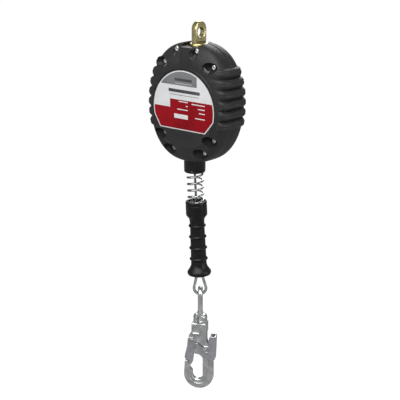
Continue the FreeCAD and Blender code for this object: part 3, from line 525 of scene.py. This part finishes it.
def cover_shell(side):
    """One cover as a closed solid: shoulder, disc, and the drum's round room behind them."""
    build = bmesh.new()
    angles = [2 * math.pi * i / AROUND for i in range(AROUND)]
    rings = []
    edge = []
    middle_x, middle_z = HOUSING_X * MM, HOUSING_Z * MM
    for angle in angles:
        x, _, z = cover_point(angle, 0, side)
        edge.append(build.verts.new((middle_x + (x - middle_x) * EDGE_SHRINK, 0,
                                     middle_z + (z - middle_z) * EDGE_SHRINK)))
    rings.append(edge)
    for row in range(ACROSS + 1):
        theta = EDGE_START + (math.pi / 2 - EDGE_START) * (row / ACROSS) ** ROW_CROWDING
        rings.append([build.verts.new(cover_point(angle, theta, side)) for angle in angles])
    for radius, depth in cover_face(side):
        rings.append([build.verts.new(((HOUSING_X + radius * math.cos(a)) * MM, side * depth * MM,
                                       (DISC_Z + radius * math.sin(a)) * MM)) for a in angles])
    front_pole = build.verts.new((HOUSING_X * MM, side * cover_face(side)[-1][1] * MM, DISC_Z * MM))
    room = [(CAVITY_R, 0.0), (CAVITY_R, CAVITY_DEPTH - 4.5), (CAVITY_R - 11, CAVITY_DEPTH)]
    inner = []
    for radius, depth in room:
        inner.append([build.verts.new(((HOUSING_X + radius * math.cos(a)) * MM, side * depth * MM,
                                       (DRUM_Z + radius * math.sin(a)) * MM)) for a in angles])
    back_pole = build.verts.new((HOUSING_X * MM, side * CAVITY_DEPTH * MM, DRUM_Z * MM))
    bands = list(zip(rings, rings[1:])) + [(rings[0], inner[0])] + list(zip(inner, inner[1:]))
    for first, second in bands:
        for i in range(AROUND):
            j = (i + 1) % AROUND
            build.faces.new((first[i], first[j], second[j], second[i]))
    for ring, pole in ((rings[-1], front_pole), (inner[-1], back_pole)):
        for i in range(AROUND):
            build.faces.new((ring[i], ring[(i + 1) % AROUND], pole))
    return finished(build)


def pocket(x, z):
    """The oval funnel that a cover screw sits in: round at its floor, drawn out sideways at the surface.
    The top pair opens downwards, with a shallow dish round its mouth, to clear the frame behind it."""
    build = bmesh.new()
    rings = []
    top = z > TOP_PAIR
    steps = TOP_POCKET_STEPS if top else POCKET_STEPS
    drop = TOP_DROP if top else 0.0
    for depth, half_x, half_z in steps:
        lower = z - drop * (depth - steps[0][0]) / (steps[-1][0] - steps[0][0])
        ring = []
        for i in range(POCKET_SIDES):
            angle = 2 * math.pi * i / POCKET_SIDES
            ring.append(build.verts.new(((x + half_x * math.cos(angle)) * MM, -depth * MM,
                                         (lower + half_z * math.sin(angle)) * MM)))
        rings.append(ring)
    for first, second in zip(rings, rings[1:]):
        for i in range(POCKET_SIDES):
            j = (i + 1) % POCKET_SIDES
            build.faces.new((first[i], first[j], second[j], second[i]))
    build.faces.new(rings[0])
    build.faces.new(rings[-1])
    return finished(build)


def block(low, high):
    """A plain box, used as a cutter."""
    build = bmesh.new()
    bmesh.ops.create_cube(build, size=1.0)
    size = Vector(high) - Vector(low)
    centre = (Vector(high) + Vector(low)) / 2
    bmesh.ops.scale(build, vec=size * MM, verts=build.verts)
    bmesh.ops.translate(build, vec=centre * MM, verts=build.verts)
    return finished(build)


def cover(side):
    """A cover with rooms for the eye, its flange, the crosshead, the outlet and, in front, the screws."""
    eye_room = lathe([(0, 5), (16.4, 5), (16.4, -21.3), (12.0, -21.3), (12.0, -46), (0, -46)], closed=False)
    depths = sorted((-side * 0.5, side * CROSSHEAD_DEPTH))
    crosshead = block((-CROSSHEAD_HALF, depths[0], CROSSHEAD_HEIGHTS[0]),
                      (CROSSHEAD_HALF, depths[1], CROSSHEAD_HEIGHTS[1]))
    outlet = lathe([(0, -148), (7.5, -148), (7.5, NECK_TOP + 0.2), (20.6, NECK_TOP + 0.2),
                    (20.6, NECK_TOP - 3.2), (17.7, NECK_TOP - 3.2), (17.7, -240), (0, -240)], closed=False)
    cutters = [eye_room, crosshead, moved(outlet, shift(NECK_X, 0, 0))]
    saddle = FRONT_SADDLE if side < 0 else REAR_SADDLE
    cutters.append(block((-SADDLE_HALF, saddle[0], SADDLE_BOTTOM), (SADDLE_HALF, saddle[1], 0)))
    shell = cut(cover_shell(side), cutters)
    if side < 0:
        pockets = [pocket(HOUSING_X + sign * half, z) for half, z in SCREW_PAIRS for sign in (-1, 1)]
        shell = cut(shell, pockets)
    return shell


def covers():
    charcoal = MATERIALS["charcoal_plastic"]
    piece("cover_front", [(cover(-1), charcoal)], "housing", "charcoal_plastic", "front_cover")
    piece("cover_rear", [(cover(1), charcoal)], "housing", "charcoal_plastic", "rear_cover")


def cover_screws():
    """The eight cover screws: round heads with a socket, standing on their pockets' floors."""
    screws = []
    for half, z in SCREW_PAIRS:
        for sign in (-1, 1):
            floor = TOP_FLOOR if z > TOP_PAIR else POCKET_FLOOR
            profile = [(0, -floor - 11.5), (1.9, -floor - 11.5), (1.9, 0), (4.3, 0), (4.3, 2.2), (3.9, 2.9),
                       (3.0, 3.2), (1.9, 3.2), (1.8, 1.3), (0, 1.1)]
            place = shift(HOUSING_X + sign * half, -floor, z) @ Matrix.Rotation(math.radians(90), 4, "X")
            screws.append((moved(lathe(profile, 32, closed=False), place), MATERIALS["zinc_screw"]))
    piece("cover_screw_set", screws, "housing", "zinc_screw", "cover_screws")


# Label

def label_outline(inset):
    """The label's outline about its centre: round above, slanted lower sides and a straight bottom."""
    radius = LABEL_R - inset
    drop = LABEL_CUT_DROP - inset
    left, right = LABEL_CUT_LEFT - inset * 0.9, LABEL_CUT_RIGHT - inset * 0.9
    side = math.degrees(math.asin(LABEL_SIDE_DROP / LABEL_R))
    return arc((0, 0), radius, -side, 180 + side, 96) + [(-left, -drop), (right, -drop)]


def above(level, left, right, radius, steps=40):
    """The part of a disc above a level and between two uprights."""
    points = [(left, level), (right, level)]
    start = math.degrees(math.acos(max(-1.0, min(1.0, right / radius))))
    end = math.degrees(math.acos(max(-1.0, min(1.0, left / radius))))
    return points + arc((0, 0), radius, start, end, steps)


def bar(left, right, low, high):
    return [(left, low), (right, low), (right, high), (left, high)]


def label():
    """White film with a grey band, a red panel and plain bars where the print is."""
    film, red = MATERIALS["label_film"], RED_PRINT
    inner = LABEL_R - PRINT_MARGIN
    drop = LABEL_CUT_DROP - PRINT_DROP_MARGIN
    left, right = LABEL_CUT_LEFT - PRINT_CUT_MARGIN, LABEL_CUT_RIGHT - PRINT_CUT_MARGIN
    side = math.degrees(math.asin(LABEL_SIDE_DROP / LABEL_R))
    step_x, low, high = PRINT_STEP
    right_angle = math.degrees(math.asin(high / inner))
    left_angle = math.degrees(math.asin(low / inner))
    panel = arc((0, 0), inner, -side, right_angle, 16) + [(step_x, high), (step_x, low)]
    panel += arc((0, 0), inner, 180 - left_angle, 180 + side, 12) + [(-left, -drop), (right, -drop)]
    band = above(BAND_LEVEL, -math.sqrt(inner ** 2 - BAND_LEVEL ** 2), BAND_RIGHT, inner)
    bars = [(places, film) for places in WHITE_BARS]
    bars += [(places, DARK_PRINT) for places in DARK_BARS]
    bars += [(places, GREY_PRINT) for places in GREY_BARS]
    layers = [(label_outline(0), LABEL_FACE, LABEL_FACE + 0.5, film),
              (panel, LABEL_FACE, LABEL_FACE + 0.58, red),
              (band, LABEL_FACE, LABEL_FACE + 0.58, GREY_PRINT)]
    layers += [(bar(*places), LABEL_FACE, LABEL_FACE + 0.66, mat) for places, mat in bars]
    parts = []
    for outline, start, end, mat in layers:
        data = slab(outline, (end - start) / 2, 0.03)
        parts.append((moved(data, shift(HOUSING_X, -(start + end) / 2, DISC_Z)), mat))
    piece("label_plate", parts, "housing", "label_film", "front_label")


# Eye and outlet

def eye():
    """The forged eye with its flange and stud."""
    zinc = MATERIALS["yellow_zinc"]
    outline = arc((0, EYE_CENTRE_Z), EYE_R, 0, 180, 36) + [(-EYE_R, -18.5), (EYE_R, -18.5)]
    blade = slab(outline, EYE_HALF_THICKNESS, 1.3, [arc((0, 0), EYE_HOLE_R, 360, 0, 48)[:-1]])
    blade = moved(blade, Matrix.Rotation(math.radians(90), 4, "Z"))
    flange = lathe([(0, -17), (13.6, -17), (14.9, -17.5), (15.5, -18.4), (15.5, -20.2), (14.9, -21),
                    (6, -21), (6, -42), (0, -42)], closed=False)
    fillet = lathe([(0, -15.6), (4.4, -15.6), (6.2, -16.4), (8.8, -17.1), (0, -17.2)], closed=False)
    piece("eye_forging", [(blade, zinc), (flange, zinc), (fillet, zinc)], "anchor", "yellow_zinc",
          "swivel_eye")


def outlet():
    """The black socket with a rounded lower edge and a shallow ring near it."""
    profile = [(15.4, NECK_TOP), (20.5, NECK_TOP), (20.5, NECK_TOP - 3), (17.6, NECK_TOP - 3), (17.6, -208),
               (17.6, -222.2), (17.1, -222.8), (17.1, -223.6), (17.6, -224.2), (17.5, -225.6),
               (17.0, -227.0), (16.4, -227.8), (15.9, -228), (15.4, -227.6)]
    data = moved(lathe(profile, 96), shift(NECK_X, 0, 0))
    piece("outlet_socket", [(data, MATERIALS["black_nylon"])], "housing", "black_nylon", "outlet_neck")


# Line

def grip():
    """The rubber handle: cup, ribbed grip and flared foot."""
    def ring(centre, radius, proud):
        return [(radius + proud * math.sin(math.pi * k / 8), -(centre + GRIP_RING_HALF * (k / 4 - 1)))
                for k in range(9)]
    outside = [(16.4, -49), (17.2, -49.2), (17.6, -49.9), (17.6, -54), (17.2, -54.5), (17.2, -56),
               (17.6, -56.5), (17.6, -71.5), (17.1, -73.2), (15.8, -74.8), (13.6, -77.5), (12.8, -79.5),
               (12.2, -83)]
    for i, drop in enumerate(GRIP_RINGS):
        outside += ring(drop, 12.0 + 0.3 * i, GRIP_RING_PROUD)
    outside += [(13.2, -158), (14.6, -162), (17.2, -166), (19.3, -168.8), (20.0, -171), (19.6, -173.4),
                (18.2, -175.6), (15.6, -176.8), (13.6, -177)]
    inside = [(12.0, -176.2), (12.0, -166), (9.0, -162), (8.0, -145), (8.0, -82), (5.2, -80), (5.2, -66),
              (15.2, -66), (15.2, -50), (15.6, -49.2)]
    data = moved(lathe(outside + inside, 96), line_matrix())
    piece("grip_rubber", [(data, MATERIALS["black_rubber"])], "line", "black_rubber", "handle_grip")


def loop_path():
    """The thimble's teardrop in its own plane, from its left tip round the bottom to its right tip."""
    angle = math.radians(LOOP_HALF_ANGLE)
    side_x = LOOP_R * math.cos(angle)
    side_z = LOOP_CENTRE + LOOP_R * math.sin(angle)
    tip_x = side_x - (THIMBLE_TOP - side_z) * math.tan(angle)
    turn = arc((0, LOOP_CENTRE), LOOP_R, 180 - LOOP_HALF_ANGLE, 360 + LOOP_HALF_ANGLE, 48)
    leg = [(-tip_x + (tip_x - side_x) * k / 8, THIMBLE_TOP + (side_z - THIMBLE_TOP) * k / 8)
           for k in range(8)]
    return leg + turn + [(-x, z) for x, z in reversed(leg)]


def thimble_piece():
    """The grooved thimble inside the cable's loop."""
    groove = [(2.05 * math.cos(math.radians(a)), 2.05 * math.sin(math.radians(a)))
              for a in range(110, 251, 14)]
    profile = [(0.7, 3.7), (0.5, 3.0)] + groove + [(0.5, -3.0), (0.7, -3.7), (-0.4, -3.9), (-1.9, -3.2),
                                                     (-2.8, -1.8), (-2.8, 1.8), (-1.9, 3.2), (-0.4, 3.9)]
    path = loop_path()
    data = moved(sweep(path, [(-out, y) for out, y in profile]), line_matrix(THIMBLE_YAW))
    piece("thimble_loop", [(data, MATERIALS["forged_zinc"])], "line", "forged_zinc", "thimble")


def rope():
    """The cable as six strands round a core, along its route down the handle, round the thimble and back."""
    path = loop_path()
    angle = math.radians(LOOP_HALF_ANGLE)
    rise = (path[0][0] + STRAND_OFFSET) / math.tan(angle)
    meet = (-STRAND_OFFSET, THIMBLE_TOP - rise)
    route = [(0, -CABLE_TOP), (0, -100), (-STRAND_OFFSET, -111), meet] + path
    route += [(STRAND_OFFSET, meet[1]), (STRAND_OFFSET, -113)]
    points = np.array(route, float)
    lengths = np.concatenate([[0], np.cumsum(np.linalg.norm(np.diff(points, axis=0), axis=1))])
    stations = np.linspace(0, lengths[-1], int(lengths[-1] / STATION_STEP))
    xs = np.interp(stations, lengths, points[:, 0])
    zs = np.interp(stations, lengths, points[:, 1])
    across = Vector((0, 1, 0))
    build = bmesh.new()
    for strand in range(STRANDS + 1):
        rings = []
        for i, s in enumerate(stations):
            before, after = max(i - 1, 0), min(i + 1, len(stations) - 1)
            along = Vector((xs[after] - xs[before], 0, zs[after] - zs[before])).normalized()
            side = Vector((-along.z, 0, along.x))
            turn = 2 * math.pi * (s / LAY + strand / STRANDS)
            out = STRAND_PITCH_R if strand < STRANDS else 0.0
            centre = Vector((xs[i], 0, zs[i])) + (side * math.cos(turn) + across * math.sin(turn)) * out
            ring = []
            for k in range(STRAND_SIDES):
                a = 2 * math.pi * k / STRAND_SIDES
                spoke = side * math.cos(a) + across * math.sin(a)
                ring.append(build.verts.new((centre + spoke * STRAND_R) * MM))
            rings.append(ring)
        for first, second in zip(rings, rings[1:]):
            for k in range(STRAND_SIDES):
                j = (k + 1) % STRAND_SIDES
                build.faces.new((first[k], first[j], second[j], second[k]))
        build.faces.new(rings[0])
        build.faces.new(rings[-1])
    data = moved(finished(build), line_matrix(THIMBLE_YAW))
    piece("cable_rope", [(data, MATERIALS["wire_rope"])], "line", "wire_rope", "cable")


# Hook

def hook_forging():
    """Swivel block with recessed panels, web with the gate's lug, spine, bend with a raised land, nose."""
    steel = MATERIALS["forged_zinc"]
    side = rounded([(-13.5, -69.5), (12, -69.5), (12, -50), (-13.5, -50)], 2.5)
    panel = rounded([(-10.8, -67.5), (-10.8, -54.5), (-0.5, -54.5), (-0.5, -67.5)], 1.0)
    frame_block = slab(side, 10.5, 1.4, [panel])
    core = slab(rounded([(-12.5, -68.5), (11, -68.5), (11, -51), (-12.5, -51)], 2.5), 8.7, 0.8)
    web = slab(rounded([(-13, -67), (-19.5, -75), (-19.5, -88), (-16, -103), (-8, -108.5), (-1, -109),
                        (4.6, -115), (6, -118), (20, -117), (19, -98), (12, -82), (12, -67)], 3.0),
               WEB_HALF, 0.9)
    nose = [(-17, -130), (-20.5, -121.5), (-26, -120.5), (-28, -129)]
    bend = arc((-2.5, -146), 25.5, 180, 360, 48)
    spine = [(23, -124), (20.5, -104), (17, -92), (7, -92), (4.6, -112)]
    inner = arc((-4.4, -146), 9, 360, 180, 32)
    outline = rounded(nose, 3.0)[5:15] + bend + spine + inner + [(-13.4, -140), (-18, -134.5), (-17.2, -130)]
    hook = slab(outline, BODY_HALF - 1.3, 2.2)
    rim = [(-21.5, -130)] + arc((-2.5, -146), 19, 180, 360, 40) + [(16.5, -119)]
    land = [(13, -119)] + arc((-2.5, -146), 15.5, 360, 180, 40) + [(-18.5, -137)]
    raised = slab(rim + land, BODY_HALF, 0.7)
    parts = [(frame_block, steel), (core, steel), (web, steel), (hook, steel), (raised, steel)]
    place = hook_matrix(HOOK_YAW)
    piece("hook_forging", [(moved(data, place), mat) for data, mat in parts], "hook", "forged_zinc",
          "hook_body")


def collar():
    """The swivel's bearing collar, with a groove, rounded shoulders and a notch that shows the stem."""
    profile = [(5.1, -56), (8.2, -56), (8.2, -50), (11.2, -50), (11.8, -49.4), (11.8, -45.2), (11.3, -44.6),
               (11.3, -43.8), (11.8, -43.2), (11.8, -39.6), (11.4, -38), (10.4, -36.4), (8.6, -35.2),
               (7, -35), (5.1, -35)]
    notch = block((-3.9, -14, -47.5), (3.9, -4, -30))
    data = moved(cut(lathe(profile, 72), [notch]), hook_matrix(HOOK_YAW))
    piece("collar_ring", [(data, MATERIALS["forged_zinc"])], "hook", "forged_zinc", "swivel_collar")


def cheeks(outline, inner, bevel=0.45):
    """Two sheet cheeks, each side of the hook's plane."""
    middle = inner + CHEEK / 2
    return [moved(slab(outline, CHEEK / 2, bevel), shift(0, side * middle, 0)) for side in (-1, 1)]


def gate_piece():
    """The channel gate: two cheeks and the closed bar between them below the web."""
    tip = [(-25.5, -109), (-26.5, -117), (-19.6, -119.2), (-16.2, -127.5), (-13.6, -126), (-12, -112)]
    outline = rounded(tip + [(-8, -98), (-6.5, -83), (-9.5, -78), (-20.5, -78.5), (-22, -95)], 3.0)
    core = rounded(tip + [(-24.5, -111)], 1.0)
    inner = WEB_HALF + GATE_GAP
    sheets = cheeks(outline, inner) + [slab(core, inner + 0.4, 0.3)]
    parts = [(moved(data, hook_matrix(HOOK_YAW)), MATERIALS["sheet_zinc"]) for data in sheets]
    piece("gate_channel_sheet", parts, "gate_channel", "sheet_zinc", "gate")


def lever_piece():
    """The folded thumb lever: two cheeks with a slanting arm each, and a back."""
    inner = BODY_HALF + LEVER_GAP
    outline = rounded([(17.5, -73), (27.6, -73), (26, -115), (12, -116.5), (5.5, -111.5), (-7.5, -93),
                       (-8, -87.5), (-3.5, -86.5), (9.5, -98), (13.8, -95), (15, -84)], 2.0)
    back = [(25.9, -73), (27.6, -73), (26, -115), (24.4, -115)]
    sheets = cheeks(outline, inner) + [slab(back, inner + 0.5, 0.3)]
    parts = [(moved(data, hook_matrix(HOOK_YAW)), MATERIALS["sheet_zinc"]) for data in sheets]
    piece("thumb_lever_sheet", parts, "thumb_lever", "sheet_zinc", "lock_lever")


def rivet(name, node, place, half):
    """A pin with domed heads."""
    dome = [(3.4 * math.cos(math.radians(a)), half + 0.35 + 0.9 * math.sin(math.radians(a)))
            for a in range(0, 91, 15)]
    upper = [(3.4, half), *dome[:-1], (0, half + 1.25)]
    lower = [(0, -half - 1.25)] + [(r, -z) for r, z in reversed(upper[:-1])]
    profile = lower + [(2.2, -half), (2.2, half)] + upper
    data = lathe(profile, 40, closed=False)
    turn = Matrix.Rotation(math.radians(90), 4, "X")
    data = moved(data, hook_matrix(HOOK_YAW) @ shift(place[0], 0, place[1]) @ turn)
    piece(name, [(data, MATERIALS["plate_steel"])], "hook", "plate_steel", node)


# Everything that stays as it is in the frame takes a finish

def finish_frame():
    slots = {row["node"]: row["material_slot"] for row in frame["record"]["subparts"]}
    for name, obj in frame["nodes"].items():
        mat = MATERIALS[slots[name]]
        if not obj.material_slots:
            obj.data.materials.append(mat)
        for slot in obj.material_slots:
            slot.material = mat
    fuller = frame["nodes"]["cushion_spring"].modifiers.new("fuller", "DISPLACE")
    fuller.mid_level = 0.0
    fuller.strength = SPRING_SWELL * MM


# Studio

def studio():
    """Pale floor, white surroundings that light the object only softly, and four soft lights."""
    build = bmesh.new()
    bmesh.ops.create_circle(build, cap_ends=True, segments=96, radius=22.0)
    data = finished(build)
    floor = bpy.data.objects.new("floor", data)
    floor.location = (0, 0, FLOOR_Z)
    paint = surface("floor_paint", (0.30, 0.30, 0.30), (0.32, 0.32, 0.32), (0.7, 0.8), 0.0, 2, 40, 0.02)
    nodes = paint.node_tree.nodes
    seen = nodes.new("ShaderNodeLightPath")
    glow = nodes.new("ShaderNodeMath")
    glow.operation = "MULTIPLY"
    glow.inputs[1].default_value = FLOOR_GLOW
    paint.node_tree.links.new(seen.outputs["Is Camera Ray"], glow.inputs[0])
    paint.node_tree.links.new(glow.outputs[0], nodes["Principled BSDF"].inputs["Emission Strength"])
    nodes["Principled BSDF"].inputs["Emission Color"].default_value = (1, 1, 1, 1)
    data.materials.append(paint)
    bpy.context.scene.collection.objects.link(floor)
    world = bpy.data.worlds.new("studio")
    bpy.context.scene.world = world
    world.use_nodes = True
    nodes, links = world.node_tree.nodes, world.node_tree.links
    nodes["Background"].inputs["Color"].default_value = (1, 1, 1, 1)
    seen = nodes.new("ShaderNodeLightPath")
    strength = nodes.new("ShaderNodeMapRange")
    strength.inputs["To Min"].default_value = ROOM_LIGHT
    strength.inputs["To Max"].default_value = 1.0
    links.new(seen.outputs["Is Camera Ray"], strength.inputs["Value"])
    links.new(strength.outputs["Result"], nodes["Background"].inputs["Strength"])
    aim = Vector((0, 0, AIM_Z))
    for name, kind, azimuth, elevation, size, power in LIGHTS:
        light = bpy.data.lights.new(name, kind)
        if kind == "SUN":
            light.angle = size
        else:
            light.size = size
        light.energy = power
        lamp = bpy.data.objects.new(name, light)
        bpy.context.scene.collection.objects.link(lamp)
        a, e = math.radians(azimuth), math.radians(elevation)
        lamp.location = aim + LIGHT_DISTANCE * Vector((math.sin(a) * math.cos(e),
                                                       -math.cos(a) * math.cos(e), math.sin(e)))
        lamp.rotation_euler = (aim - lamp.location).to_track_quat("-Z", "Y").to_euler()
    bpy.context.scene.view_settings.view_transform = "Standard"


def camera():
    data = bpy.data.cameras.new("camera")
    data.lens = LENS
    data.sensor_width = 36.0
    obj = bpy.data.objects.new("camera", data)
    bpy.context.scene.collection.objects.link(obj)
    a, e = math.radians(AZIMUTH), math.radians(ELEVATION)
    aim = Vector((0, 0, AIM_Z)) + AIM_RIGHT * Vector((math.cos(a), math.sin(a), 0))
    obj.location = aim + DISTANCE * Vector((math.sin(a) * math.cos(e), -math.cos(a) * math.cos(e),
                                            math.sin(e)))
    obj.rotation_euler = (aim - obj.location).to_track_quat("-Z", "Y").to_euler()
    bpy.context.scene.camera = obj


finish_frame()
covers()
cover_screws()
label()
eye()
outlet()
grip()
thimble_piece()
rope()
hook_forging()
collar()
gate_piece()
lever_piece()
rivet("gate_rivet", "gate_pin", GATE_PIVOT, WEB_HALF + GATE_GAP + CHEEK + RIVET_CLEAR)
rivet("lever_rivet", "lever_pin", LEVER_PIVOT, BODY_HALF + LEVER_GAP + CHEEK + RIVET_CLEAR)
studio()
camera()
